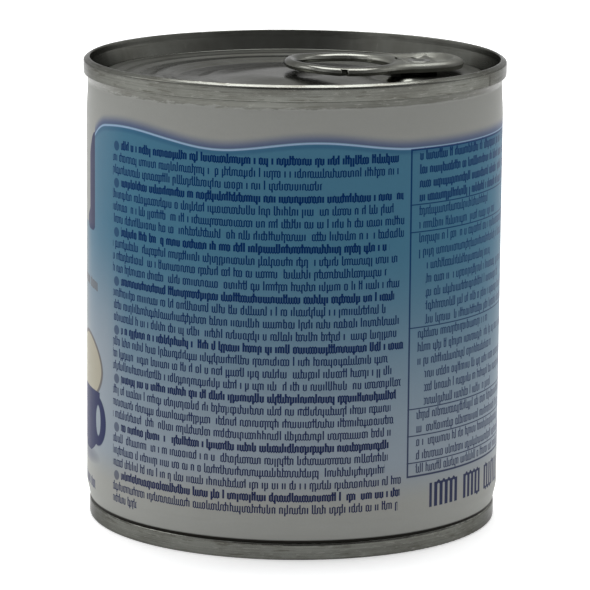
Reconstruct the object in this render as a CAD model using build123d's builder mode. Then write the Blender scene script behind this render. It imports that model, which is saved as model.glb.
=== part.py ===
"""Condensed milk can: a shut three-piece steel can with a ring-pull end.

Millimetres, +Z up. The origin is the centre of the base, on the floor that the can stands on.
The can is sealed, so the body is solid from one end to the other.
"""
from build123d import *
from math import cos, radians, sin
import os

os.makedirs("parts", exist_ok=True)

# ------------------------------------------------------------------ the whole can
CAN_HEIGHT = 82.0              # floor to the top of the upper seam
BODY_RADIUS = 36.65            # outside of the straight body wall
BODY_WALL = 0.7                # wall that stands up around each end
END_BACKING = 0.9              # end material below its deepest fold

# ------------------------------------------------------------------ upper neck and seam
TOP_NECK_INSET = 0.25          # how far the wall steps in below the upper seam
TOP_NECK_HEIGHT = 5.0          # height of wall over which it steps in
TOP_NECK_BEND = 20.0           # soft bend where the step starts
SHOULDER_HEIGHT = 1.2          # wall that flares out again to meet the seam
SHOULDER_BEND = 3.0
TOP_SEAM_OVERHANG = 0.55       # upper seam beyond the body wall
TOP_SEAM_HEIGHT = 2.9
SEAM_THICKNESS = 1.1           # five layers of folded sheet
SEAM_CREST = 0.4               # rounding along the crest of a seam
SEAM_LIP = 0.45                # rounding along the lip of a seam

# ------------------------------------------------------------------ lower neck and seam
BASE_NECK_INSET = 0.7          # the wall tapers in above the lower seam
BASE_NECK_HEIGHT = 3.2
BASE_NECK_BEND = 4.0
BASE_SEAM_INSET = 0.5          # lower seam inside the body wall
BASE_SEAM_HEIGHT = 3.0

# ------------------------------------------------------------------ end panels
CHUCK_TAPER = 0.8              # how far the recess wall leans in from crest to fold
FOLD_RADIUS = 0.5              # rounding where the sheet folds
FOLD_WIDTH = 1.0               # floor of the fold around a panel
TOP_FOLD_DEPTH = 4.3           # fold below the upper seam's crest
TOP_LAND_DEPTH = 3.2           # land that carries the score line
TOP_LAND_WIDTH = 2.2
TOP_PANEL_DEPTH = 3.75         # pressed panel inside the land
TOP_BEAD_PITCH = 5.2           # from one pressed ring to the next
TOP_BEAD_WIDTH = 2.8
TOP_BEAD_RISE = 0.35
GROOVE_WIDTH = 6.4             # sunk ring between the beads and the flat middle
GROOVE_DROP = 0.35             # groove floor below the panel
BASE_FOLD_DEPTH = 4.2
BASE_PANEL_DEPTH = 2.9
BASE_BEAD_PITCH = 4.6
BASE_BEAD_WIDTH = 3.0
BASE_BEAD_RISE = 0.6
BEAD_COUNT = 2                 # pressed rings in each end
BEAD_GAP = 0.6                 # flat beside the outermost and innermost bead
BEND_RADIUS = 0.6              # rounding along the beads

# ------------------------------------------------------------------ ring-pull tab and rivet
TAB_DIRECTION = 13.0           # degrees from +X to the tab's nose
TAB_RIM_GAP = 5.3              # nose to the seam's inner face
TAB_LIFT = 1.1                 # gap between the tab and the pad
TAB_THICKNESS = 1.25
TAB_EDGE = 0.5                 # rounding of the curled edges
NOSE_WIDTH = 16.0
NOSE_TIP_LENGTH = 5.8          # depth of the nose's rounded tip
RING_LENGTH = 21.2             # ring from end to end along the tab
RING_WIDTH = 22.6
RING_REACH = 11.4              # nose tip to the near edge of the ring
RING_RAIL = 3.0                # sides of the ring
RING_END_RAIL = 2.3            # end of the ring that the finger lifts
WAIST_RADIUS = 2.0             # rounding in the two corners between ring and nose
NOSE_CURL = 2.4                # raised border round the pocket in the nose
POCKET_DEPTH = 0.55
RIVET_SETBACK = 8.3            # nose tip to the rivet's axis
RIVET_BOSS_RADIUS = 3.2
RIVET_SHANK_RADIUS = 1.5
RIVET_HEAD_RADIUS = 2.4
RIVET_HEAD_HEIGHT = 0.45
RIVET_CLEARANCE = 0.05         # tab hole around the rivet's shank
HINGE_SLIT_RADIUS = 4.1        # slit that frees the tongue under the rivet
HINGE_SLIT_WIDTH = 0.6
HINGE_SLIT_SWEEP = 200.0       # degrees of the slit, open towards the nose
PAD_RISE = 0.45                # flat pad above the pressed panel, a little over the beads
PAD_MARGIN = 1.6               # flat pad beyond the nose, all round

# ------------------------------------------------------------------ places that follow
TOP_SEAM_RADIUS = BODY_RADIUS + TOP_SEAM_OVERHANG
TOP_SEAM_BORE = TOP_SEAM_RADIUS - SEAM_THICKNESS
TOP_NECK_RADIUS = BODY_RADIUS - TOP_NECK_INSET
TOP_LIP_Z = CAN_HEIGHT - TOP_SEAM_HEIGHT
TOP_PLUG_RADIUS = TOP_NECK_RADIUS - BODY_WALL
TOP_PLUG_Z = CAN_HEIGHT - TOP_FOLD_DEPTH - END_BACKING

BASE_SEAM_RADIUS = BODY_RADIUS - BASE_SEAM_INSET
BASE_SEAM_BORE = BASE_SEAM_RADIUS - SEAM_THICKNESS
BASE_NECK_RADIUS = BODY_RADIUS - BASE_NECK_INSET
BASE_PLUG_RADIUS = BASE_NECK_RADIUS - BODY_WALL
BASE_PLUG_Z = BASE_FOLD_DEPTH + END_BACKING

PANEL_Z = CAN_HEIGHT - TOP_PANEL_DEPTH
TOP_BEAD_Z = PANEL_Z + TOP_BEAD_RISE
PAD_Z = PANEL_Z + PAD_RISE
TAB_Z = PAD_Z + TAB_LIFT
WEB_Z = TAB_Z + TAB_THICKNESS - POCKET_DEPTH
NOSE_TIP = TOP_SEAM_BORE - TAB_RIM_GAP
NOSE_TIP_CENTRE = NOSE_TIP - NOSE_TIP_LENGTH
RING_CENTRE = NOSE_TIP - RING_REACH - RING_LENGTH / 2
RIVET_X = NOSE_TIP - RIVET_SETBACK
PAD_ROOT = RING_CENTRE + RING_LENGTH / 2 - RING_RAIL


def bent_outline(corners):
    """Close an outline through corners given as radius, height and bend radius."""
    points = [(radius, height) for radius, height, bend in corners]
    bends = [bend for radius, height, bend in corners]
    return FilletPolyline(*points, radius=bends, close=True)


def seam_corners(seam_radius, plug_radius, plug_z, lip_z, crest_z):
    """Corners from the axis, under the end and round its seam to the seam's inner face."""
    return [
        (0, plug_z, 0),
        (plug_radius, plug_z, 0),
        (plug_radius, lip_z, 0),
        (seam_radius, lip_z, SEAM_LIP),
        (seam_radius, crest_z, SEAM_CREST),
        (seam_radius - SEAM_THICKNESS, crest_z, SEAM_CREST),
    ]


def fold_corners(bore, fold_z, land_z):
    """Corners of the recess wall, the fold at its foot and the rise to the panel's edge."""
    foot = bore - CHUCK_TAPER
    return [
        (foot, fold_z, FOLD_RADIUS),
        (foot - FOLD_WIDTH, fold_z, FOLD_RADIUS / 2),
        (foot - FOLD_WIDTH - FOLD_RADIUS, land_z, FOLD_RADIUS / 2),
    ]


def bead_corners(outer_radius, pitch, width, floor_z, crest_z):
    """Corners of the rings pressed into a panel, from the outermost in."""
    corners = []
    for ring in range(BEAD_COUNT):
        foot = outer_radius - ring * pitch
        corners += [
            (foot, floor_z, BEND_RADIUS),
            (foot - width / 3, crest_z, BEND_RADIUS),
            (foot - 2 * width / 3, crest_z, BEND_RADIUS),
            (foot - width, floor_z, BEND_RADIUS),
        ]
    return corners


def top_panel_corners():
    """Corners of the upper panel, from its land in to the axis."""
    land_z = CAN_HEIGHT - TOP_LAND_DEPTH
    land_edge = TOP_SEAM_BORE - CHUCK_TAPER - FOLD_WIDTH - FOLD_RADIUS - TOP_LAND_WIDTH
    panel_edge = land_edge - BEND_RADIUS
    first_foot = panel_edge - BEAD_GAP
    last_foot = first_foot - (BEAD_COUNT - 1) * TOP_BEAD_PITCH - TOP_BEAD_WIDTH
    groove_edge = last_foot - BEAD_GAP
    groove_z = PANEL_Z - GROOVE_DROP
    return [
        (land_edge, land_z, BEND_RADIUS),
        (panel_edge, PANEL_Z, BEND_RADIUS / 2),
        *bead_corners(first_foot, TOP_BEAD_PITCH, TOP_BEAD_WIDTH, PANEL_Z, TOP_BEAD_Z),
        (groove_edge, PANEL_Z, BEND_RADIUS / 2),
        (groove_edge - BEND_RADIUS, groove_z, BEND_RADIUS),
        (groove_edge - GROOVE_WIDTH + BEND_RADIUS, groove_z, BEND_RADIUS),
        (groove_edge - GROOVE_WIDTH, PANEL_Z, BEND_RADIUS),
        (0, PANEL_Z, 0),
    ]


def base_panel_corners():
    """Corners of the lower panel, from its edge in to the axis."""
    crest_z = BASE_PANEL_DEPTH + BASE_BEAD_RISE
    panel_edge = BASE_SEAM_BORE - CHUCK_TAPER - FOLD_WIDTH - FOLD_RADIUS
    first_foot = panel_edge - BEAD_GAP
    return [
        *bead_corners(first_foot, BASE_BEAD_PITCH, BASE_BEAD_WIDTH, BASE_PANEL_DEPTH, crest_z),
        (0, BASE_PANEL_DEPTH, 0),
    ]


def along_tab(distance, height):
    """The plane square to +Z whose origin lies on the tab's centre line."""
    angle = radians(TAB_DIRECTION)
    origin = (distance * cos(angle), distance * sin(angle), height)
    return Plane(origin=origin, x_dir=(cos(angle), sin(angle), 0), z_dir=(0, 0, 1))


# ------------------------------------------------------------------ body: wall and sealed contents
with BuildPart() as can_body:
    with BuildSketch(Plane.XZ):
        with BuildLine():
            neck_top_z = TOP_LIP_Z - SHOULDER_HEIGHT
            bent_outline([
                (0, BASE_PLUG_Z, 0),
                (BASE_PLUG_RADIUS, BASE_PLUG_Z, 0),
                (BASE_PLUG_RADIUS, BASE_SEAM_HEIGHT, 0),
                (BASE_NECK_RADIUS, BASE_SEAM_HEIGHT, 0),
                (BODY_RADIUS, BASE_SEAM_HEIGHT + BASE_NECK_HEIGHT, BASE_NECK_BEND),
                (BODY_RADIUS, neck_top_z - TOP_NECK_HEIGHT, TOP_NECK_BEND),
                (TOP_NECK_RADIUS, neck_top_z, SHOULDER_BEND),
                (BODY_RADIUS, TOP_LIP_Z, 0),
                (TOP_PLUG_RADIUS, TOP_LIP_Z, 0),
                (TOP_PLUG_RADIUS, TOP_PLUG_Z, 0),
                (0, TOP_PLUG_Z, 0),
            ])
        make_face()
    revolve(axis=Axis.Z)

# ------------------------------------------------------------------ upper end with its rivet
with BuildPart() as top_end:
    with BuildSketch(Plane.XZ):
        with BuildLine():
            bent_outline(
                seam_corners(TOP_SEAM_RADIUS, TOP_PLUG_RADIUS, TOP_PLUG_Z, TOP_LIP_Z, CAN_HEIGHT)
                + fold_corners(TOP_SEAM_BORE, CAN_HEIGHT - TOP_FOLD_DEPTH, CAN_HEIGHT - TOP_LAND_DEPTH)
                + top_panel_corners()
            )
        make_face()
    revolve(axis=Axis.Z)

    # the flat pad that the beads run out into, under the nose of the tab
    with BuildSketch(along_tab(0, TOP_PLUG_Z)):
        pad_width = NOSE_WIDTH + 2 * PAD_MARGIN
        pad_end = NOSE_TIP + PAD_MARGIN
        with Locations(((PAD_ROOT + pad_end) / 2, 0)):
            RectangleRounded(pad_end - PAD_ROOT, pad_width, NOSE_TIP_LENGTH)
    extrude(amount=PAD_Z - TOP_PLUG_Z)

    # boss, shank and head of the rivet that is drawn up out of the end
    with BuildSketch(along_tab(RIVET_X, PAD_Z)):
        Circle(RIVET_BOSS_RADIUS)
    extrude(amount=TAB_LIFT)
    with BuildSketch(along_tab(RIVET_X, TAB_Z)):
        Circle(RIVET_SHANK_RADIUS)
    extrude(amount=WEB_Z - TAB_Z)
    with BuildSketch(along_tab(RIVET_X, WEB_Z)):
        Circle(RIVET_HEAD_RADIUS)
    extrude(amount=RIVET_HEAD_HEIGHT)
    head_top = top_end.faces(Select.LAST).sort_by(Axis.Z)[-1]
    fillet(head_top.edges(), RIVET_HEAD_HEIGHT / 2)

# ------------------------------------------------------------------ lower end
with BuildPart() as bottom_end:
    with BuildSketch(Plane.XZ):
        with BuildLine():
            bent_outline(
                seam_corners(BASE_SEAM_RADIUS, BASE_PLUG_RADIUS, BASE_PLUG_Z, BASE_SEAM_HEIGHT, 0)
                + fold_corners(BASE_SEAM_BORE, BASE_FOLD_DEPTH, BASE_PANEL_DEPTH)
                + base_panel_corners()
            )
        make_face()
    revolve(axis=Axis.Z)

# ------------------------------------------------------------------ ring-pull tab
with BuildPart() as pull_tab:
    with BuildSketch(along_tab(0, TAB_Z)) as outline:
        with Locations((RING_CENTRE, 0)):
            Ellipse(RING_LENGTH / 2, RING_WIDTH / 2)
        with Locations(((RING_CENTRE + NOSE_TIP_CENTRE) / 2, 0)):
            Rectangle(NOSE_TIP_CENTRE - RING_CENTRE, NOSE_WIDTH)
        tab_line = Axis(along_tab(0, TAB_Z).origin, along_tab(0, TAB_Z).x_dir)
        fillet(outline.vertices().sort_by(tab_line)[:2], WAIST_RADIUS)
        with Locations((NOSE_TIP_CENTRE, 0)):
            Ellipse(NOSE_TIP_LENGTH, NOSE_WIDTH / 2)
        with Locations((RING_CENTRE, 0)):
            Ellipse(
                RING_LENGTH / 2 - RING_END_RAIL, RING_WIDTH / 2 - RING_RAIL, mode=Mode.SUBTRACT
            )
    extrude(amount=TAB_THICKNESS)
    curled = pull_tab.faces().filter_by(Axis.Z).edges()
    fillet(curled, TAB_EDGE)

    # pocket in the nose, with the rivet's hole and the slit round the rivet's tongue
    with BuildSketch(along_tab(0, WEB_Z)):
        pocket_root = RING_CENTRE + RING_LENGTH / 2 - RING_END_RAIL + NOSE_CURL
        with Locations((NOSE_TIP_CENTRE, 0)):
            Ellipse(NOSE_TIP_LENGTH - NOSE_CURL, NOSE_WIDTH / 2 - NOSE_CURL)
        with Locations(((pocket_root + NOSE_TIP_CENTRE) / 2, 0)):
            Rectangle(NOSE_TIP_CENTRE - pocket_root, NOSE_WIDTH - 2 * NOSE_CURL)
    extrude(amount=POCKET_DEPTH, mode=Mode.SUBTRACT)
    with BuildSketch(along_tab(RIVET_X, TAB_Z)):
        Circle(RIVET_SHANK_RADIUS + RIVET_CLEARANCE)
    extrude(amount=TAB_THICKNESS, mode=Mode.SUBTRACT)
    with BuildSketch(along_tab(RIVET_X, TAB_Z)):
        slit_start = 180 - HINGE_SLIT_SWEEP / 2
        slit_arc = CenterArc(
            (0, 0), HINGE_SLIT_RADIUS, slit_start, HINGE_SLIT_SWEEP, mode=Mode.PRIVATE
        )
        SlotArc(slit_arc, HINGE_SLIT_WIDTH)
    extrude(amount=TAB_THICKNESS, mode=Mode.SUBTRACT)

# ------------------------------------------------------------------ write the pieces
can_body.part.label = "can_body"
top_end.part.label = "top_end"
bottom_end.part.label = "bottom_end"
pull_tab.part.label = "pull_tab"

export_step(can_body.part, "parts/can_body.step")
export_step(top_end.part, "parts/top_end.step")
export_step(bottom_end.part, "parts/bottom_end.step")
export_step(pull_tab.part, "parts/pull_tab.step")
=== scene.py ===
"""Looks for the condensed milk can: camera, light, printed wall, tinplate ends and ring-pull.

Everything is in metres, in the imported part's frame. The camera faces the can along +Y.
"""

import math

import bpy
import numpy as np
from mathutils import Matrix, Vector


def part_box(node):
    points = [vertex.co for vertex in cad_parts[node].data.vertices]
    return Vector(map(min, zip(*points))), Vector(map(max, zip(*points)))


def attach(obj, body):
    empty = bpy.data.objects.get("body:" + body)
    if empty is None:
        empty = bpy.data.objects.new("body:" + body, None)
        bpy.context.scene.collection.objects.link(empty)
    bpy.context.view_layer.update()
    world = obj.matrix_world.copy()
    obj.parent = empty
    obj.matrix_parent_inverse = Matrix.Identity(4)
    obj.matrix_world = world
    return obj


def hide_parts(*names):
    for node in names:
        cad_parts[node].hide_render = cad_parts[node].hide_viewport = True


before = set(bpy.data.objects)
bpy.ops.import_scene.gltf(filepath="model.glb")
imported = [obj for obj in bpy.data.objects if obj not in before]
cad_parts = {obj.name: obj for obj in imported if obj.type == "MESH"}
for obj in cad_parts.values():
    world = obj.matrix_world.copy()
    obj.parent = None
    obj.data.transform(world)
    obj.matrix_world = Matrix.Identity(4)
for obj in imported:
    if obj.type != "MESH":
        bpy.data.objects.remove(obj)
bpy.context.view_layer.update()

MM = 0.001


def srgb(red, green, blue):
    """A colour named by its 8-bit display values, as the linear values that shaders take."""
    def linear(value):
        share = value / 255
        return share / 12.92 if share <= 0.04045 else ((share + 0.055) / 1.055) ** 2.4
    return (linear(red), linear(green), linear(blue), 1.0)


# ---- sizes in mm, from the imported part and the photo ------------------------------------

_, LID_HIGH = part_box("top_end")
WALL_RADIUS = 36.65                      # outside of the printed wall
ARC = math.pi / 180 * WALL_RADIUS        # way round the wall for each degree
LID_TOP = LID_HIGH.z / MM                # crest of the upper seam
SEAM_FOOT = LID_TOP - 2.9                # lower edge of the upper seam
BARE_STRIP = 1.2                         # bare tinplate under the upper seam
PRINT_TOP = SEAM_FOOT - BARE_STRIP

# ---- camera -----------------------------------------------------------------------------

CAMERA_PLACE = Vector((0.0026527, -0.7005869, 0.1764707))
CAMERA_PITCH = math.radians(-11.089)
CAMERA_YAW = math.radians(0.191)
CAMERA_ROLL = math.radians(0.497)
LENS_PER_SENSOR = 4014.56 / 590


def add_camera():
    """A long lens, a little above the can's top and looking slightly down on it."""
    data = bpy.data.cameras.new("camera")
    data.sensor_width = 36.0
    data.lens = LENS_PER_SENSOR * data.sensor_width
    data.clip_start = 0.01
    data.clip_end = 20.0
    camera = bpy.data.objects.new("camera", data)
    bpy.context.scene.collection.objects.link(camera)
    turn = (Matrix.Rotation(CAMERA_YAW, 4, "Z")
            @ Matrix.Rotation(math.pi / 2 + CAMERA_PITCH, 4, "X")
            @ Matrix.Rotation(CAMERA_ROLL, 4, "Z"))
    camera.matrix_world = Matrix.Translation(CAMERA_PLACE) @ turn
    bpy.context.scene.camera = camera


# ---- values and colours worked out by shader nodes --------------------------------------

class Value:
    """A number at each point of a surface, worked out by maths nodes."""

    def __init__(self, tree, socket):
        self.tree = tree
        self.socket = socket

    def _node(self, operation, *inputs, clamp=False):
        node = self.tree.nodes.new("ShaderNodeMath")
        node.operation = operation
        node.use_clamp = clamp
        for slot, given in zip(node.inputs, inputs):
            if isinstance(given, Value):
                self.tree.links.new(given.socket, slot)
            else:
                slot.default_value = given
        return Value(self.tree, node.outputs[0])

    def __add__(self, other):
        return self._node("ADD", self, other)

    def __radd__(self, other):
        return self._node("ADD", other, self)

    def __sub__(self, other):
        return self._node("SUBTRACT", self, other)

    def __rsub__(self, other):
        return self._node("SUBTRACT", other, self)

    def __mul__(self, other):
        return self._node("MULTIPLY", self, other)

    def __truediv__(self, other):
        return self._node("DIVIDE", self, other)

    def __pow__(self, other):
        return self._node("POWER", self, other)

    def __abs__(self):
        return self._node("ABSOLUTE", self)

    def floor(self):
        return self._node("FLOOR", self)

    def cos(self):
        return self._node("COSINE", self)

    def sqrt(self):
        return self._node("SQRT", self)

    def modulo(self, other):
        return self._node("FLOORED_MODULO", self, other)

    def wrap(self, low, high):
        return self._node("WRAP", self, high, low)

    def most(self, other):
        return self._node("MAXIMUM", self, other)

    def angle_to(self, other):
        return self._node("ARCTAN2", self, other)

    def clamp(self):
        return self._node("ADD", self, 0.0, clamp=True)

    def above(self, edge, soft):
        """1 well above the edge, 0 well below it, with a straight ramp of that width."""
        return self._node("MULTIPLY_ADD", self - edge, 1 / soft, 0.5, clamp=True)

    def below(self, edge, soft):
        """1 well below the edge, 0 well above it."""
        return self._node("MULTIPLY_ADD", edge - self, 1 / soft, 0.5, clamp=True)

    def between(self, low, high, soft):
        return self.above(low, soft) * self.below(high, soft)

    def ease(self, start, end):
        """0 at start, 1 at end and smooth between, whichever of the two is larger."""
        node = self.tree.nodes.new("ShaderNodeMapRange")
        node.interpolation_type = "SMOOTHSTEP"
        self.tree.links.new(self.socket, node.inputs["Value"])
        low, high = min(start, end), max(start, end)
        node.inputs["From Min"].default_value = low
        node.inputs["From Max"].default_value = high
        node.inputs["To Min"].default_value = 0.0 if start < end else 1.0
        node.inputs["To Max"].default_value = 1.0 if start < end else 0.0
        return Value(self.tree, node.outputs["Result"])


class Paint:
    """One material's node tree, with the can's own coordinates in millimetres."""

    def __init__(self, name):
        self.material = bpy.data.materials.new(name)
        self.material.use_nodes = True
        self.tree = self.material.node_tree
        self.tree.nodes.clear()
        self.output = self.tree.nodes.new("ShaderNodeOutputMaterial")
        self.shader = self.tree.nodes.new("ShaderNodeBsdfPrincipled")
        self.tree.links.new(self.shader.outputs[0], self.output.inputs["Surface"])
        place = self.tree.nodes.new("ShaderNodeTexCoord").outputs["Object"]
        split = self.tree.nodes.new("ShaderNodeSeparateXYZ")
        self.tree.links.new(place, split.inputs[0])
        self.x, self.y, self.z = (Value(self.tree, out) * (1 / MM) for out in split.outputs)
        self.radius = (self.x * self.x + self.y * self.y).sqrt()
        self.turn = self.x.angle_to(self.y * -1.0) * (180 / math.pi)

    def vector(self, x, y, z=0.0):
        node = self.tree.nodes.new("ShaderNodeCombineXYZ")
        for slot, given in zip(node.inputs, (x, y, z)):
            if isinstance(given, Value):
                self.tree.links.new(given.socket, slot)
            else:
                slot.default_value = given
        return node.outputs[0]

    def dice(self, x, y, seed):
        """A number from 0 to 1 that is the same all over each whole-numbered cell."""
        node = self.tree.nodes.new("ShaderNodeTexWhiteNoise")
        node.noise_dimensions = "3D"
        self.tree.links.new(self.vector(x + 0.5, y + 0.5, seed), node.inputs["Vector"])
        return Value(self.tree, node.outputs["Value"])

    def noise(self, x, y, z, detail=2.0, roughness=0.5):
        """Smooth noise around 0.5. Its grain is one unit of the given coordinates."""
        node = self.tree.nodes.new("ShaderNodeTexNoise")
        node.inputs["Scale"].default_value = 1.0
        node.inputs["Detail"].default_value = detail
        node.inputs["Roughness"].default_value = roughness
        self.tree.links.new(self.vector(x, y, z), node.inputs["Vector"])
        return Value(self.tree, node.outputs[0])

    def mix(self, share, under, over):
        """The over colour where the share is 1, the under colour where it is 0."""
        node = self.tree.nodes.new("ShaderNodeMix")
        node.data_type = "RGBA"
        node.clamp_factor = True
        self.tree.links.new(share.socket, node.inputs["Factor"])
        for slot, given in ((node.inputs[6], under), (node.inputs[7], over)):
            if isinstance(given, tuple):
                slot.default_value = given
            else:
                self.tree.links.new(given, slot)
        return node.outputs[2]

    def scale(self, colour, factor):
        """The colour made lighter or darker by a factor near 1."""
        node = self.tree.nodes.new("ShaderNodeVectorMath")
        node.operation = "SCALE"
        if isinstance(colour, tuple):
            node.inputs[0].default_value = colour[:3]
        else:
            self.tree.links.new(colour, node.inputs[0])
        self.tree.links.new(factor.socket, node.inputs["Scale"])
        return node.outputs[0]

    def set(self, **values):
        """Sets sockets of the shader, by a number, a colour or a value from nodes."""
        for name, given in values.items():
            slot = self.shader.inputs[name.replace("_", " ")]
            if isinstance(given, Value):
                self.tree.links.new(given.socket, slot)
            elif isinstance(given, bpy.types.NodeSocket):
                self.tree.links.new(given, slot)
            else:
                slot.default_value = given

    def bump(self, height, distance):
        """Raises the surface by the height, in units of the distance in millimetres."""
        node = self.tree.nodes.new("ShaderNodeBump")
        node.inputs["Strength"].default_value = 1.0
        node.inputs["Distance"].default_value = distance * MM
        self.tree.links.new(height.socket, node.inputs["Height"])
        self.tree.links.new(node.outputs[0], self.shader.inputs["Normal"])


# ---- shapes -----------------------------------------------------------------------------

ROUND = 456                              # steps round the can
RIVET_ROUND = 64                         # steps round the rivet


def bent(corners, straight_step=0.4, bend_step=12.0):
    """Points in mm along a line through corners given as radius, height and bend radius."""
    points = [np.array(corners[0][:2], float)]
    for before, corner, after in zip(corners, corners[1:], corners[2:]):
        here = np.array(corner[:2], float)
        back = np.array(before[:2], float) - here
        ahead = np.array(after[:2], float) - here
        back /= np.linalg.norm(back)
        ahead /= np.linalg.norm(ahead)
        opening = math.acos(max(-1.0, min(1.0, float(back @ ahead))))
        bend = corner[2]
        if bend <= 0 or opening > math.pi - 0.01:
            points.append(here)
            continue
        reach = bend / math.tan(opening / 2)
        middle = back + ahead
        centre = here + middle / np.linalg.norm(middle) * bend / math.sin(opening / 2)
        start, end = here + back * reach - centre, here + ahead * reach - centre
        sweep = math.pi - opening
        turns = max(2, math.ceil(math.degrees(sweep) / bend_step))
        for share in np.linspace(0.0, 1.0, turns + 1):
            points.append(centre + (start * math.sin((1 - share) * sweep)
                                    + end * math.sin(share * sweep)) / math.sin(sweep))
    points.append(np.array(corners[-1][:2], float))
    line = [points[0]]
    for point in points[1:]:
        gap = np.linalg.norm(point - line[-1])
        if gap < 1e-4:
            continue
        parts = max(1, math.ceil(gap / straight_step))
        start = line[-1]
        line += [start + (point - start) * part / parts for part in range(1, parts + 1)]
    return np.array(line)


def add_mesh(name, points, faces, material):
    """A smooth-shaded mesh object from points in mm."""
    mesh = bpy.data.meshes.new(name)
    mesh.from_pydata((np.asarray(points) * MM).tolist(), [], faces)
    mesh.update()
    mesh.materials.append(material)
    mesh.polygons.foreach_set("use_smooth", [True] * len(mesh.polygons))
    piece = bpy.data.objects.new(name, mesh)
    bpy.context.scene.collection.objects.link(piece)
    return piece


def spin(profile, steps, lift=None, centre=(0.0, 0.0)):
    """Points and faces of a profile turned round an upright axis.

    The profile runs from the outside in. lift changes the height of each point.
    """
    profile = np.asarray(profile)
    on_axis = profile[-1, 0] < 1e-6
    rings = profile[:-1] if on_axis else profile
    angle = np.linspace(0.0, 2 * math.pi, steps, endpoint=False)
    x = centre[0] + rings[:, :1] * np.cos(angle)
    y = centre[1] + rings[:, :1] * np.sin(angle)
    z = np.repeat(rings[:, 1:], steps, axis=1)
    if lift is not None:
        z = lift(x, y, z)
    points = np.stack([x, y, z], axis=-1).reshape(-1, 3).tolist()
    faces = []
    for ring in range(len(rings) - 1):
        for step in range(steps):
            after = (step + 1) % steps
            faces.append((ring * steps + step, ring * steps + after,
                          (ring + 1) * steps + after, (ring + 1) * steps + step))
    if on_axis:
        top = profile[-1, 1]
        points.append([centre[0], centre[1], float(top)])
        last = (len(rings) - 1) * steps
        faces += [(last + step, last + (step + 1) % steps, len(points) - 1)
                  for step in range(steps)]
    return points, faces


def rounded_box(u, v, half_u, half_v, corner):
    """Distance to a rectangle with rounded corners, less than 0 inside it."""
    du, dv = np.abs(u) - half_u + corner, np.abs(v) - half_v + corner
    outside = np.hypot(np.maximum(du, 0), np.maximum(dv, 0))
    return outside + np.minimum(np.maximum(du, dv), 0) - corner


def ellipse(u, v, half_u, half_v):
    """Near its edge, the distance to an ellipse, less than 0 inside it."""
    size = np.hypot(u / half_u, v / half_v)
    slope = np.hypot(u / half_u ** 2, v / half_v ** 2) + 1e-9
    return size * (size - 1.0) / slope


def soft_least(a, b, blend):
    """The smaller of two distances, with the crease between them rounded."""
    near = np.maximum(blend - np.abs(a - b), 0.0) / blend
    return np.minimum(a, b) - near * near * blend / 4


def soft_most(a, b, blend):
    return -soft_least(-a, -b, blend)


def ease(value, start, end):
    share = np.clip((value - start) / (end - start), 0.0, 1.0)
    return share * share * (3 - 2 * share)


def skin(distance, low, high, step):
    """Points and faces of the surface where a distance function is 0, inside a box."""
    axes = [np.arange(a, b + step, step) for a, b in zip(low, high)]
    grid = np.meshgrid(*axes, indexing="ij")
    field = distance(*grid)
    cells = tuple(n - 1 for n in field.shape)
    total = np.zeros(cells + (3,))
    count = np.zeros(cells)
    corner = np.stack(np.meshgrid(*[np.arange(n) for n in cells], indexing="ij"), -1)
    for axis in range(3):
        others = [n for n in range(3) if n != axis]
        for a in (0, 1):
            for b in (0, 1):
                shift = np.zeros(3, int)
                shift[others[0]], shift[others[1]] = a, b
                ends = []
                for end in (0, 1):
                    move = shift.copy()
                    move[axis] = end
                    ends.append(field[tuple(slice(m, m + n) for m, n in zip(move, cells))])
                crossing = (ends[0] < 0) != (ends[1] < 0)
                gap = np.where(crossing, ends[0] - ends[1], 1.0)
                place = corner + shift.astype(float)
                place[..., axis] += ends[0] / gap
                total += np.where(crossing[..., None], place, 0.0)
                count += crossing
    active = count > 0
    number = np.full(cells, -1)
    number[active] = np.arange(active.sum())
    points = total[active] / count[active][:, None] * step + np.array(low)
    faces = []
    for axis in range(3):
        b, c = (axis + 1) % 3, (axis + 2) % 3
        first = [slice(1, n) for n in cells]
        first[axis] = slice(0, cells[axis])
        second = list(first)
        second[axis] = slice(1, cells[axis] + 1)
        near, far = field[tuple(first)], field[tuple(second)]
        spots = np.argwhere((near < 0) != (far < 0))
        leaving = (near < 0)[tuple(spots.T)]
        for offset in (b, c):
            spots[:, offset] += 1
        around = []
        for move_b, move_c in ((1, 1), (0, 1), (0, 0), (1, 0)):
            cell = spots.copy()
            cell[:, b] -= move_b
            cell[:, c] -= move_c
            around.append(number[tuple(cell.T)])
        quads = np.stack(around, -1)
        quads[~leaving] = quads[~leaving][:, ::-1]
        faces += quads.tolist()
    nudge = step * 0.05
    for _ in range(3):
        here = distance(*points.T)
        slope = np.stack([(distance(*(points + nudge * np.eye(3)[n]).T) - here) / nudge
                          for n in range(3)], -1)
        size = (slope * slope).sum(-1) + 1e-9
        points -= np.clip(here / size, -step, step)[:, None] * slope
    return points, faces


# ---- upper end --------------------------------------------------------------------------

SEAM_RADIUS = LID_HIGH.x / MM
SEAM_BORE = SEAM_RADIUS - 1.1            # inside of the seam, at its crest
FOLD_Z = LID_TOP - 4.3                   # lowest line, at the foot of the recess wall
LAND_Z = LID_TOP - 3.2                   # flat rim of the panel, with the score that tears
PANEL_Z = LID_TOP - 3.65
GROOVE_Z = PANEL_Z - 0.3
SCORE_RADIUS = 33.0
RING_RISE = 0.27                         # of the two rings pressed into the panel
DOME_RISE = 0.75                         # of the panel's middle, under the ring
PAD_Z = PANEL_Z + 0.5                    # pad under the tab's nose
PAD_HALF_WIDTH, PAD_CORNER = 8.9, 6.2
TAB_Z = PANEL_Z + 1.55                   # underside of the tab
TAB_THICKNESS = 1.25
WEB_Z = TAB_Z + TAB_THICKNESS - 0.78     # top of the tab's sunk web at the rivet
TAB_TURN = math.radians(13.0)            # from +X towards +Y

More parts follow.
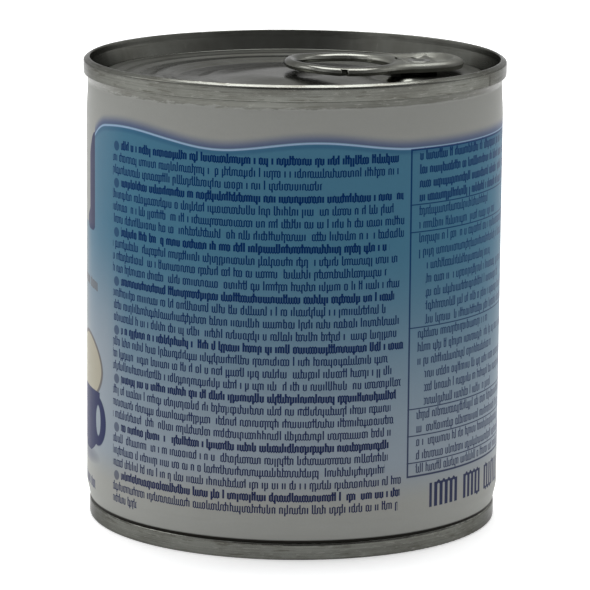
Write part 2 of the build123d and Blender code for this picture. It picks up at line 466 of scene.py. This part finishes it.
# Places along the tab, from the can's axis.
NOSE_TIP = SEAM_BORE - 5.3
NOSE_CENTRE = NOSE_TIP - 5.8
RIVET_PLACE = NOSE_TIP - 8.3
RING_CENTRE = NOSE_TIP - 22.0
PAD_ENDS = 14.4, NOSE_TIP + 1.6


def lid_profile():
    """The upper end's outside, from the lip of its seam in to the middle of its panel."""
    foot = SEAM_BORE - 0.8
    land_edge = foot - 3.7
    corners = [
        (WALL_RADIUS - 0.28, SEAM_FOOT + 0.35, 0),
        (WALL_RADIUS - 0.02, SEAM_FOOT + 0.02, 0.2),
        (SEAM_RADIUS - 0.04, SEAM_FOOT, 0.25),
        (SEAM_RADIUS, SEAM_FOOT + 1.0, 0.8),
        (SEAM_RADIUS, LID_TOP - 0.45, 0.5),
        (SEAM_RADIUS - 0.75, LID_TOP, 0.4),
        (SEAM_BORE + 0.01, LID_TOP, 0.2),
        (SEAM_BORE - 0.14, LID_TOP - 1.2, 0.8),
        (foot, FOLD_Z, 0.5),
        (foot - 1.0, FOLD_Z, 0.3),
        (foot - 1.5, LAND_Z, 0.28),
        (SCORE_RADIUS + 0.12, LAND_Z, 0.03),
        (SCORE_RADIUS, LAND_Z - 0.09, 0.03),
        (SCORE_RADIUS - 0.12, LAND_Z, 0.03),
        (land_edge + 0.4, LAND_Z, 2.0),
        (land_edge - 1.2, PANEL_Z + 0.13, 1.0),
    ]
    for start, crest in ((None, 29.2), (25.5, 23.9)):
        if start:
            corners.append((start, PANEL_Z, 1.2))
        corners += [(crest + 0.45, PANEL_Z + RING_RISE, 1.0),
                    (crest - 0.45, PANEL_Z + RING_RISE, 1.0), (crest - 1.5, PANEL_Z, 1.2)]
    corners += [(21.8, PANEL_Z, 0.4), (20.9, GROOVE_Z, 0.8), (17.2, GROOVE_Z, 1.2),
                (15.2, PANEL_Z, 1.5), (0.0, PANEL_Z, 0)]
    return bent(corners)


def tab_frame(x, y):
    """Distance along the tab from the can's axis, and distance across it."""
    return (x * math.cos(TAB_TURN) + y * math.sin(TAB_TURN),
            y * math.cos(TAB_TURN) - x * math.sin(TAB_TURN))


def panel_lift(x, y, z):
    """Raises the panel's middle a little, and its part under the tab's nose to a flat pad."""
    u, v = tab_frame(x, y)
    radius = np.hypot(x, y)
    z = z + DOME_RISE * ease(radius, 15.2, 6.0)
    root, end = PAD_ENDS
    away = rounded_box(u - (root + end) / 2, v, (end - root) / 2, PAD_HALF_WIDTH, PAD_CORNER)
    share = ease(-away, -1.9, 0.3) * ease(radius, 32.7, 31.2)
    return z + (PAD_Z - z) * share


def lid_mesh():
    """The upper end with its rivet, which starts under the pad and ends in a dished head."""
    points, faces = spin(lid_profile(), ROUND, panel_lift)
    head_z = WEB_Z + 0.4
    rivet = bent([
        (3.6, PAD_Z - 0.1, 0), (3.2, PAD_Z + 0.1, 0.3), (3.1, TAB_Z, 0.2), (1.5, TAB_Z, 0.05),
        (1.5, WEB_Z, 0.03), (2.4, WEB_Z, 0.1), (2.1, head_z, 0.35), (1.2, head_z, 0.4),
        (0.7, head_z - 0.15, 0.5), (0.0, head_z - 0.15, 0)], 0.3, 20.0)
    centre = (RIVET_PLACE * math.cos(TAB_TURN), RIVET_PLACE * math.sin(TAB_TURN))
    more_points, more_faces = spin(rivet, RIVET_ROUND, centre=centre)
    start = len(points)
    faces += [tuple(start + corner for corner in face) for face in more_faces]
    return points + more_points, faces


# ---- ring-pull --------------------------------------------------------------------------

RING_HALF = 10.6, 11.3                   # outline of the ring, along and across the tab
NOSE_HALF = 5.3, 7.6                     # outline of the nose's tip
HOLE_RADIUS = 8.3
CURL_WIDTH = 1.5                         # from a rail's edge to its crest
CURL_BASE = 0.3                          # height of a rail's widest line over its underside
WEB_SINK = 0.45                          # of the web between the rails
POCKET_PLACE, POCKET_HALF = 24.6, (3.7, 5.2)
POCKET_SINK = 0.3                        # of the pocket round the rivet, below the web
HEM_DROP = (0.06, 0.25)                  # how far the folded hem hangs under the ring and the nose
HEM_PLACE, HEM_HALF = 0.62, 0.25         # in from the edge, and half its flat width
HEM_ROUND = 0.22
RING_LIFT, NOSE_LIFT = 0.35, 0.25        # how far the two ends bow up
HINGE_RADIUS = 4.1                       # of the slit round the rivet's tongue
RIVET_HOLE = 1.53
NOTCH_PLACE, NOTCH_HALF = 6.4, 0.48      # notch in the near rail
NOTCH_FRONT, NOTCH_TOP = -10.2, 0.85
TAB_STEP = 0.16                          # size of the cells that the mesh is worked out on


def tab_outline(u, v):
    """Distance in plan to the ring-pull, less than 0 in the metal."""
    ring = ellipse(u - RING_CENTRE, v, *RING_HALF)
    shank = rounded_box(u - (RING_CENTRE + NOSE_CENTRE) / 2, v,
                        (NOSE_CENTRE - RING_CENTRE) / 2 + 2.0, NOSE_HALF[1], 2.0)
    tip = ellipse(u - NOSE_CENTRE, v, *NOSE_HALF)
    nose = np.where(u > NOSE_CENTRE, tip, shank)
    hole = ellipse(u - RING_CENTRE, v, HOLE_RADIUS, HOLE_RADIUS)
    return np.maximum(soft_least(ring, nose, 2.4), -hole)


def tab_distance(u, v, w):
    """Near its surface, the distance to the ring-pull.

    u is along the tab, v across it and w over its underside.
    """
    w = w - RING_LIFT * ease(-u, -7.0, 1.0) - NOSE_LIFT * ease(u, 20.0, 29.0)
    inward = -tab_outline(u, v)
    pocket = ease(-ellipse(u - POCKET_PLACE, v, *POCKET_HALF), -0.4, 0.7)
    sunk = WEB_SINK * ease(inward, 1.6, 3.6) + POCKET_SINK * pocket
    lifted = w - CURL_BASE + np.where(w > CURL_BASE, sunk, 0.0)
    height = np.where(lifted > 0, TAB_THICKNESS - CURL_BASE, CURL_BASE)
    run = np.maximum(CURL_WIDTH - inward, 0) / CURL_WIDTH
    body = (np.sqrt(run * run + (lifted / height) ** 2) - 1.0) * 0.8

    drop = HEM_DROP[0] + (HEM_DROP[1] - HEM_DROP[0]) * ease(u, 13.0, 18.0)
    hem_side = np.abs(inward - HEM_PLACE) - HEM_HALF
    hem_flat = np.abs(w + drop / 2) - drop / 2 + 0.05
    hem = np.hypot(np.maximum(hem_side, 0), np.maximum(hem_flat, 0)) - HEM_ROUND
    body = soft_least(body, hem, 0.45)

    reach = np.hypot(u - RIVET_PLACE, v)
    hinge = np.maximum(np.abs(reach - HINGE_RADIUS) - 0.2, u - RIVET_PLACE - 0.72)
    body = soft_most(body, -hinge, 0.12)
    notch = np.maximum(np.abs(u - NOTCH_PLACE) - NOTCH_HALF,
                       np.maximum(v - NOTCH_FRONT, w - NOTCH_TOP))
    body = soft_most(body, -notch, 0.15)
    return np.maximum(body, RIVET_HOLE - reach)


def tab_mesh():
    """The ring-pull, turned and lifted to its place on the rivet."""
    low, high = (-2.4, -11.9, -0.95), (NOSE_TIP + 0.6, 11.9, 1.9)
    points, faces = skin(tab_distance, low, high, TAB_STEP)
    u, v, w = points.T
    x = u * math.cos(TAB_TURN) - v * math.sin(TAB_TURN)
    y = u * math.sin(TAB_TURN) + v * math.cos(TAB_TURN)
    return np.stack([x, y, w + TAB_Z], -1), faces


# ---- tinplate ---------------------------------------------------------------------------

TIN_TONE = srgb(105, 106, 101)
TIN_WORN = srgb(125, 125, 120)
TIN_STAIN = srgb(78, 77, 71)
WELD_SOOT = srgb(52, 50, 46)
WELD_TURN = 64.5                         # degrees round from the seen side to the wall's weld
LID_ROLLING, BASE_ROLLING = 20.0, -35.0  # degrees from +X to each end's rolling lines
BASE_BORE = 35.05
SEAM_CONTRAST = 1.0                      # of the rolling lines on the seams and the bare wall
TAB_PAINTED_LIGHT_Z = TAB_Z + 0.6                # under it the tab's sides are painted paler, painted light for what they reflect
TIN_ROUGHNESS = 0.26
EDGE_TINT = (0.5, 0.5, 0.5, 1.0)         # keeps tinplate from whitening where it turns away


def tin_colour(paint, along, across, contrast=0.28):
    """Rolled tinplate: faint lines along the rolling, soft stains and small worn flecks."""
    lines = paint.noise(along * 0.03, across * 3.2, 1.7, detail=4.0, roughness=0.6)
    cloud = paint.noise(along * 0.11, across * 0.16, 5.3, detail=4.0, roughness=0.62)
    fleck = paint.noise(along * 0.9, across * 2.1, 9.1, detail=3.0, roughness=0.6)
    colour = paint.mix((cloud - 0.42) * 2.2, TIN_TONE, TIN_STAIN)
    colour = paint.mix(fleck.above(0.67, 0.06) * 0.5, colour, TIN_WORN)
    return paint.scale(colour, 1.0 + (lines - 0.5) * contrast), lines, cloud


def scuffs(paint, arc, z):
    """Dark dashes and pale flakes round a seam, longer than they are high."""
    dash = paint.noise(arc * 0.22, z * 2.6, 4.4, detail=2.0, roughness=0.55).above(0.64, 0.08)
    flake = paint.noise(arc * 0.5, z * 3.4, 8.8, detail=3.0, roughness=0.6).above(0.63, 0.06)
    return dash, flake


def tinplate(name, bore, rolling, polish=0.0, painted_light_below=None):
    """Bare tinplate: satin panels with straight rolling lines, and marks round the seams."""
    paint = Paint(name)
    on_seam = paint.radius.above(bore - 0.2, 0.4)
    on_panel = paint.radius.below(bore - 0.9, 0.3)
    arc = paint.turn * ARC
    tilt = math.radians(rolling)
    along = paint.x * math.cos(tilt) + paint.y * math.sin(tilt)
    across = paint.y * math.cos(tilt) - paint.x * math.sin(tilt)
    panel, panel_lines, panel_cloud = tin_colour(paint, along, across)
    seam, seam_lines, seam_cloud = tin_colour(paint, arc, paint.z * 1.6, SEAM_CONTRAST)
    dash, flake = scuffs(paint, arc, paint.z)
    seam = paint.mix(dash * 0.8, seam, TIN_STAIN)
    seam = paint.mix(flake * 0.7, seam, TIN_WORN)
    weld = abs(paint.turn - WELD_TURN).below(0.35, 0.5)
    weld = weld * paint.z.between(40.0, LID_TOP - 0.9, 0.5)
    seam = paint.mix(weld * 0.75, seam, WELD_SOOT)
    colour = paint.mix(on_seam, panel, seam)
    # Painted light: below the given height the colour is made paler, standing in for light that
    # the tab's lower sides reflect.
    if painted_light_below:
        colour = paint.scale(colour, 1.0 + paint.z.below(painted_light_below, 0.6) * 1.3)

    # Smoothest in the middle of a panel, and roughest on the tab's nose.
    middle = on_panel * paint.radius.ease(30.0, 23.0)
    roughness = (TIN_ROUGHNESS - polish + on_panel * panel_cloud * 0.1 - middle * 0.11
                 + on_seam * (seam_cloud - 0.7) * 0.16)
    if polish:
        roughness = roughness + along.ease(13.0, 18.0) * 0.26
    paint.set(Base_Color=colour, Metallic=1.0, Roughness=roughness,
              Specular_Tint=EDGE_TINT)
    lines = panel_lines * (1.0 - on_seam) + seam_lines * on_seam
    wobble = paint.noise(paint.x * 0.22, paint.y * 0.22, 3.0, detail=2.0)
    paint.bump(lines * 0.10 + wobble, 0.05)
    return paint.material


# ---- printed wall -----------------------------------------------------------------------

# Heights are in mm over the floor. Turns are degrees round from the middle of the seen side,
# and arcs are mm round the wall from there. Both grow to the right.

WHITE = srgb(141, 142, 138)
BLUE = srgb(66, 107, 129)
BLUE_DEEP = srgb(44, 80, 112)
BLUE_FAINT = srgb(133, 142, 150)
PALE_LINE = srgb(146, 168, 194)
GLOW = srgb(52, 72, 112)
INK_TOP = srgb(0, 32, 80)
INK_LOW = srgb(18, 27, 66)
INK_TABLE = srgb(0, 34, 82)
SLATE = srgb(26, 32, 72)
CREASE_PAINTED_SHADE = srgb(34, 33, 30)
CREAM = srgb(152, 148, 133)
OUTLINE = srgb(88, 84, 84)
LACQUER_IOR = 1.06                       # low, because the photo's wall has no sheen

FRONT_TURN = -165.0                      # middle of the blank front
FIELD_END, FIELD_CORNER = 94.25, 102.5   # degrees from there to the blue field and its corner
FIELD_TOP = 71.55
WAVE_CREST, WAVE_LENGTH = 6.0, 57.0      # degrees
WAVE_HEIGHT = 0.8

TEXT_LEFT = -58.0                        # degrees
TEXT_TOP, TEXT_PITCH, TEXT_ROWS = 70.15, 2.15, 30
LETTER_STEP = 0.43                       # mm from one stroke to the next
STROKE, BOLD = 0.25, 0.10                # mm, and how much wider the strokes of a heading are
BADGE_PLACE, BADGE_RADIUS = 1.2, 0.86    # dot that starts a heading

TABLE_LEFT, TABLE_RIGHT = 33.0, 97.5     # degrees
TABLE_TOP, TABLE_PITCH, TABLE_ROWS = 70.3, 2.367, 24
TABLE_HEAD_ROWS = 4
TABLE_RULES = (4, 6, 13, 19, 21, 23)     # rows that start under a rule

HEAVY_ARC, HEAVY_Z = (26.0, 52.0), (6.8, 12.8)

BAR_INSET = 60.3                         # mm from the middle of the front to a bar's outer side
BAR_WIDTH, BAR_FOOT = 3.4, 1.6           # and how much wider the bar is at its foot
BAR_LOW, BAR_TOP = 52.5, 70.0

MUG_ARC = -50.0
MUG_HALF, MUG_LOW, MUG_TOP = 7.3, 12.9, 24.2
HANDLE_HALF, HANDLE_HOLE = (4.0, 4.5), (1.15, 2.7)
DOME_Z, DOME_HALF = 28.0, (8.5, 6.0)

WORDS_END, WORDS_Z = (-43.7, -45.2), (44.0, 8.2)     # of the upper and lower curved rows


def greeked_rows(paint, along, down, pitch, size, advance, stroke, seed, gap=0.11, tails=0.48):
    """Rows of unreadable upright strokes joined by small arches, as a stand-in for small print.

    along and down are in mm from the block's upper left corner. size is the height of a low
    stroke, advance the space from one stroke to the next, gap the share of strokes left out
    between words, and tails how far a tall stroke stands out, as a share of the size. The
    result is the ink and the number of each row.
    """
    row = (down / pitch).floor()
    drop = down - row * pitch
    base = pitch * 0.76
    step = along / advance
    cell = step.floor()
    place = step - cell
    near = (step + 0.5).floor()
    sideways = abs(step - near) * advance
    tall = paint.dice(near, row, seed)
    word_here = paint.dice(cell, row, seed + 1.0).above(gap, 0.001)
    word_next = paint.dice(cell + 1.0, row, seed + 1.0).above(gap, 0.001)
    word_near = paint.dice(near, row, seed + 1.0).above(gap, 0.001)
    top = base - size - tall.above(0.80, 0.001) * size * tails
    foot = base + tall.below(0.07, 0.001) * size * (tails * 0.85)
    soft = 0.07
    upright = (sideways.below(stroke / 2, soft) * drop.above(top, soft)
               * drop.below(foot, soft) * word_near)
    joint = paint.dice(cell, row, seed + 2.0)
    bow = (place - 0.5) * (place - 0.5) * (size * 0.9)
    arch = abs(drop - (base - size) - bow).below(stroke * 0.42, soft) * joint.below(0.46, 0.001)
    cup = abs(drop - base + bow).below(stroke * 0.42, soft) * joint.between(0.30, 0.82, 0.001)
    return (upright.most(arch.most(cup) * word_here * word_next)), row


def blue_field(paint, turn, z, front_turn):
    """White lacquer, and a blue field that fades out downwards, with a wavy top edge."""
    calm = turn.ease(26.0, 44.0)             # the wave is flatter over the table
    wave = ((turn - WAVE_CREST) * (2 * math.pi / WAVE_LENGTH)).cos()
    edge = (FIELD_TOP + wave * WAVE_HEIGHT * (1.0 - calm) - calm * 0.9
            + turn.ease(-16.0, -36.0) * 0.4)
    corner = (FIELD_CORNER - front_turn).most(0.0) / 8.6
    edge = edge - corner * corner * 2.0
    under = edge - z
    beyond = front_turn.below(FIELD_END, 0.35) * z.above(53.4, 0.6)
    beyond = beyond.most(front_turn.ease(92.0, 73.0))
    shown = 1.0 - beyond
    field = under.above(0.0, 0.16)
    pale = abs(under - 0.2).below(0.15, 0.16)
    deep = under.between(0.3, 1.1, 0.5)
    glow = under.ease(-2.0, 0.0) * (1.0 - field)

    fade_mid = z.ease(56.0, 10.0)
    # On the left the field fades out higher up, as printed, and its blue is also made a tenth
    # paler all the way up, a painted sheen near the can's edge.
    left_fade_and_sheen = z.ease(56.0, 28.5) * 0.9 + 0.1
    fade_and_sheen = fade_mid + (left_fade_and_sheen - fade_mid) * turn.ease(-50.0, -63.0)
    blue = paint.mix(deep * 0.5, BLUE, BLUE_DEEP)
    blue = paint.mix(fade_and_sheen, blue, BLUE_FAINT)
    blue = paint.mix(z.ease(16.0, 8.5), blue, WHITE)
    colour = paint.mix(glow * 0.8 * shown, WHITE, GLOW)
    colour = paint.mix(field * shown, colour, blue)
    return paint.mix(pale * (1.0 - fade_and_sheen * 0.9) * 0.9 * shown, colour, PALE_LINE)


def small_print(paint, colour, arc, z):
    """The main column: rows with ragged ends, every fourth one a bold heading with a dot."""
    along = arc - TEXT_LEFT * ARC
    down = TEXT_TOP - z
    row = (down / TEXT_PITCH).floor()
    heading = (row.modulo(4.0)).between(2.5, 3.5, 0.01).most(row.below(0.5, 0.01))
    strokes, row = greeked_rows(paint, along, down, TEXT_PITCH, 1.06, LETTER_STEP,
                                heading * BOLD + STROKE, 11.0)
    last_row = row.above(TEXT_ROWS - 1.5, 0.01)
    reach = 53.5 + paint.dice(row * 0.0, row, 31.0) * 3.6
    reach = reach - row.between(1.5, 2.5, 0.01) * 12.0 - last_row * 49.0
    in_rows = row.between(-0.5, TEXT_ROWS - 0.5, 0.01)
    block = along.above(0.0, 0.1) * (reach - along).above(0.0, 0.1) * in_rows
    strokes = strokes * (1.0 - heading * (1.0 - along.above(2.6, 0.1)))
    badge_along = along - BADGE_PLACE
    badge_down = down - row * TEXT_PITCH - TEXT_PITCH * 0.55
    badge = (badge_along * badge_along + badge_down * badge_down).sqrt()
    badge = badge.below(BADGE_RADIUS, 0.12)
    ink = paint.mix(z.ease(60.0, 18.0), INK_TOP, INK_LOW)
    colour = paint.mix(block * strokes * 0.96, colour, ink)
    return paint.mix(badge * heading * in_rows * 0.62, colour, ink)


def table(paint, colour, arc, z):
    """A table with a frame, rules and rows, and one line of heavy strokes under it."""
    across = arc - TABLE_LEFT * ARC
    down = TABLE_TOP - z
    width, height = (TABLE_RIGHT - TABLE_LEFT) * ARC, TABLE_ROWS * TABLE_PITCH
    inside = across.between(-0.2, width + 0.2, 0.05) * down.between(-0.2, height + 0.2, 0.05)
    sides = abs(across - width / 2) - width / 2
    ends = abs(down - height / 2) - height / 2
    border = abs(sides.most(ends)).below(0.17, 0.08) * inside
    rules = [abs(down - start * TABLE_PITCH).below(0.10, 0.08) for start in TABLE_RULES]
    ruled = rules[0]
    for rule in rules[1:]:
        ruled = ruled.most(rule)
    head = down.below(TABLE_HEAD_ROWS * TABLE_PITCH, 0.01)
    cells, row = greeked_rows(paint, across - 1.9, down, TABLE_PITCH, 1.08, LETTER_STEP,
                              head * BOLD + STROKE, 41.0)
    indent = (row.between(7.5, 12.5, 0.01) + row.between(15.5, 18.5, 0.01)) * 1.6
    cells = cells * (across - 1.7 - indent).above(0.0, 0.1)
    reach = 20.0 + paint.dice(row * 0.0, row, 61.0) * 22.0
    cells = cells * (reach + head * 12.0 - across).above(0.0, 0.1)
    drawing = border.most(ruled * inside).most(cells * inside)
    ink = paint.mix(z.ease(60.0, 18.0), INK_TABLE, INK_LOW)
    colour = paint.mix(drawing * 0.85, colour, ink)

    heavy, _ = greeked_rows(paint, arc - 26.2, 13.6 - z, 8.0, 4.3, 1.32, 0.78, 71.0,
                            gap=0.12, tails=0.0)
    heavy = heavy * z.between(*HEAVY_Z, 0.1) * arc.between(*HEAVY_ARC, 0.1)
    return paint.mix(heavy * 0.9, colour, INK_LOW)


def front_bars(paint, colour, z, front_turn):
    """The edges of the blank front: a dark bar at each end, rounded at the top and the foot."""
    inset = BAR_INSET - front_turn * ARC
    width = BAR_WIDTH + z.ease(56.5, 54.5) * BAR_FOOT
    top = BAR_TOP - (inset / 3.3) * (inset / 3.3) * 3.8
    low = BAR_LOW + ((inset - 2.4) / 2.7) ** 4.0 * 1.2
    bar = inset.above(0.0, 0.15) * (width - inset).above(0.0, 0.15)
    bar = bar * (top - z).above(0.0, 0.2) * (z - low).above(0.0, 0.2)
    return paint.mix(bar * 0.92, colour, SLATE)


def mug_with_dome(paint, colour, arc, z):
    """A mug under a cream dome, with a soft shadow."""
    side = arc - MUG_ARC
    wide = abs(side)
    low = (MUG_TOP - z) / 11.0
    mug = (MUG_HALF - low ** 6.0 * 4.5 - wide).above(0.0, 0.15) * z.between(MUG_LOW, MUG_TOP, 0.15)
    outer = (((side - 6.1) / HANDLE_HALF[0]) ** 2.0
             + ((z - 19.0) / HANDLE_HALF[1]) ** 2.0).below(1.0, 0.12)
    inner = (((side - 6.5) / HANDLE_HOLE[0]) ** 2.0
             + ((z - 19.1) / HANDLE_HOLE[1]) ** 2.0).below(1.0, 0.3)
    handle = outer * side.above(4.5, 0.2)
    dome = (wide / DOME_HALF[0]) ** 1.8 + (abs(z - DOME_Z) / DOME_HALF[1]) ** 1.8
    over_mug = z.above(MUG_TOP - 0.1, 0.2)
    dome_fill = dome.below(1.0, 0.04) * over_mug
    dome_line = abs(dome - 1.0).below(0.09, 0.05) * over_mug
    shadow = (1.0 - ((side * side) / 60.0 + (z - 12.2) * (z - 12.2) / 3.0)).clamp()
    colour = paint.mix(shadow * 0.45, colour, SLATE)
    colour = paint.mix(dome_fill, colour, CREAM)
    colour = paint.mix(dome_line * 0.85, colour, OUTLINE)
    return paint.mix(mug.most(handle) * (1.0 - inner) * 0.95, colour, SLATE)


def curved_rows(paint, colour, arc, z):
    """Two short rows on the front, which end at the seen side. One call draws them both."""
    lower = z.below(28.0, 0.1)
    end = lower * (WORDS_END[1] - WORDS_END[0]) + WORDS_END[0]
    top = lower * (WORDS_Z[1] - WORDS_Z[0]) + WORDS_Z[0] - (arc - end) * 0.06
    words, row = greeked_rows(paint, arc + 90.0, top - z, 2.4, 1.4, 0.5, 0.36, 81.0)
    words = words * row.between(-0.5, 0.5, 0.01) * (end - arc).between(0.0, 24.0, 0.1)
    tone = paint.mix(lower, OUTLINE, SLATE)
    return paint.mix(words * 0.9, colour, tone)


def bare_tin(paint, arc, turn, z):
    """Where the printed sheet stops short of the seams, the tinplate there and its lines."""
    flaky = turn.ease(20.0, -10.0)
    ragged = paint.noise(arc * 0.4, z * 2.4, 2.2, detail=4.0, roughness=0.6) - 0.5
    bare = (z + ragged * (0.4 + flaky * 1.8)).above(PRINT_TOP, 0.2).most(z.below(3.2, 0.2))
    tin, lines, _ = tin_colour(paint, arc, z * 1.6, SEAM_CONTRAST)
    dash, flake = scuffs(paint, arc, z)
    tin = paint.scale(tin, 0.74 + flaky * 0.3)
    tin = paint.mix(dash * 0.6, tin, TIN_STAIN)
    tin = paint.mix(flake * 0.6, tin, TIN_WORN)
    return bare, tin, lines


def printed_wall(name):
    """The can's printed wall. Cycles can't take more small print than this in one material."""
    paint = Paint(name)
    turn, z = paint.turn, paint.z
    arc = turn * ARC
    front_turn = abs((turn - FRONT_TURN).wrap(-180.0, 180.0))
    grain = paint.noise(paint.x * 2.4, paint.y * 2.4, z * 2.4, detail=2.0)
    colour = blue_field(paint, turn, z, front_turn)
    colour = small_print(paint, colour, arc, z)
    colour = table(paint, colour, arc, z)
    colour = front_bars(paint, colour, z, front_turn)
    colour = mug_with_dome(paint, colour, arc, z)
    colour = curved_rows(paint, colour, arc, z)
    # Painted light: the print is made lighter towards the foot, offsetting the shade near the
    # floor; the grain varies its tone at random.
    colour = paint.scale(colour, 0.97 + grain * 0.06 + z.ease(60.0, 6.0) * 0.12
                         + z.ease(14.0, 7.0) * 0.08)
    bare, tin, tin_lines = bare_tin(paint, arc, turn, z)
    colour = paint.mix(bare, colour, tin)
    # Painted shade: the wall is painted dark, and not metallic, in the crease just over the lower
    # seam.
    colour = paint.mix(z.below(3.5, 0.25), colour, CREASE_PAINTED_SHADE)
    paint.set(Base_Color=colour, Metallic=bare * z.above(4.0, 0.1),
              Roughness=0.30 + grain * 0.06 + bare * 0.02, IOR=LACQUER_IOR)
    dents = paint.noise(paint.x * 0.07, paint.y * 0.07, z * 0.05, detail=1.0)
    paint.bump(grain * 0.03 + dents * 2.0 + tin_lines * bare * 0.1, 0.05)
    return paint.material


# ---- floor and light --------------------------------------------------------------------

FLOOR_GLOW, FLOOR_WHITENING = 0.25, 0.2  # for all rays, and more for the camera and mirrors
FRONT_LEVEL, ROOM_LEVEL = 0.25, 0.72     # of the room ahead of the can, and at its sides
LEFT_EXTRA, BEHIND_EXTRA = 0.22, 0.45
SOFTBOX_AIM = (0.0, 0.0, 0.05)
SOFTBOXES = (                            # name, place, width, height and strength
    ("left_softbox", (-1.25, 0.1, 1.0), 0.7, 0.7, 2.4),
    ("right_softbox", (1.15, 0.6, 1.0), 0.5, 0.6, 1.0),
    ("top_softbox", (0.0, 0.42, 1.45), 1.2, 0.8, 6.0),
)


def add_floor():
    """A plain white floor that still shows the can's shadow."""
    mesh = bpy.data.meshes.new("floor")
    half = 6.0
    mesh.from_pydata([(-half, -half, 0), (half, -half, 0), (half, half, 0), (-half, half, 0)],
                     [], [(0, 1, 2, 3)])
    floor = bpy.data.objects.new("floor", mesh)
    bpy.context.scene.collection.objects.link(floor)
    material = bpy.data.materials.new("floor")
    material.use_nodes = True
    tree = material.node_tree
    tree.nodes.clear()
    output = tree.nodes.new("ShaderNodeOutputMaterial")
    shader = tree.nodes.new("ShaderNodeBsdfPrincipled")
    shader.inputs["Base Color"].default_value = (0.8, 0.8, 0.8, 1)
    shader.inputs["Roughness"].default_value = 0.9
    shader.inputs["Specular IOR Level"].default_value = 0.0
    shader.inputs["Emission Color"].default_value = (1, 1, 1, 1)
    path = tree.nodes.new("ShaderNodeLightPath")
    seen = Value(tree, path.outputs["Is Camera Ray"])
    for name in ("Is Glossy Ray", "Is Transmission Ray"):
        seen = seen.most(Value(tree, path.outputs[name]))
    strength = seen * FLOOR_WHITENING + FLOOR_GLOW
    tree.links.new(strength.socket, shader.inputs["Emission Strength"])
    tree.links.new(shader.outputs[0], output.inputs["Surface"])
    mesh.materials.append(material)


def add_softbox(name, place, width, height, strength):
    data = bpy.data.lights.new(name, "AREA")
    data.shape = "RECTANGLE"
    data.size = width
    data.size_y = height
    data.energy = strength * width * height * math.pi
    light = bpy.data.objects.new(name, data)
    bpy.context.scene.collection.objects.link(light)
    light.location = place
    aim = Vector(SOFTBOX_AIM) - Vector(place)
    light.rotation_euler = aim.to_track_quat("-Z", "Y").to_euler()


def add_light():
    """A bright room behind, beside and above the can, and a dim one in front of it."""
    world = bpy.data.worlds.new("world")
    bpy.context.scene.world = world
    world.use_nodes = True
    tree = world.node_tree
    tree.nodes.clear()
    output = tree.nodes.new("ShaderNodeOutputWorld")
    background = tree.nodes.new("ShaderNodeBackground")
    tree.links.new(background.outputs[0], output.inputs["Surface"])
    split = tree.nodes.new("ShaderNodeSeparateXYZ")
    tree.links.new(tree.nodes.new("ShaderNodeTexCoord").outputs["Generated"], split.inputs[0])
    side, depth, height = (Value(tree, out) for out in split.outputs)
    level = (side * side + depth * depth).sqrt().most(0.001)
    forward = depth / level * -1.0
    on_left = (side / level * -1.0).above(0.0, 0.1)
    ahead_left, ahead_right = forward.ease(0.68, 0.92), forward.ease(0.0, 0.98)
    ahead = ahead_right + (ahead_left - ahead_right) * on_left
    ahead = ahead * height.ease(0.99, 0.92)
    open_room = ROOM_LEVEL + on_left * forward.between(0.1, 0.9, 0.3) * LEFT_EXTRA
    open_room = open_room + forward.ease(0.1, -0.6) * BEHIND_EXTRA
    strength = open_room + (FRONT_LEVEL - open_room) * ahead
    tree.links.new(strength.socket, background.inputs["Strength"])
    for softbox in SOFTBOXES:
        add_softbox(*softbox)


def main():
    view = bpy.context.scene.view_settings
    view.view_transform = "Standard"
    add_camera()
    add_floor()
    add_light()
    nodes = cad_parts
    looks = {
        "can_body": printed_wall("printed_wall"),
        "top_end": tinplate("tin_lid", SEAM_BORE, LID_ROLLING),
        "bottom_end": tinplate("tin_base", BASE_BORE, BASE_ROLLING),
        "pull_tab": tinplate("tab_steel", SEAM_BORE, math.degrees(TAB_TURN), polish=0.02,
                             painted_light_below=TAB_PAINTED_LIGHT_Z),
    }
    for name, material in looks.items():
        for slot in nodes[name].material_slots:
            slot.material = material
    for name, node, make, slot in (("lid", "top_end", lid_mesh, "tin_lid"),
                                   ("ring_pull", "pull_tab", tab_mesh, "tab_steel")):
        piece = add_mesh(name, *make(), looks[node])
        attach(piece, "root")
        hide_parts(node)


main()
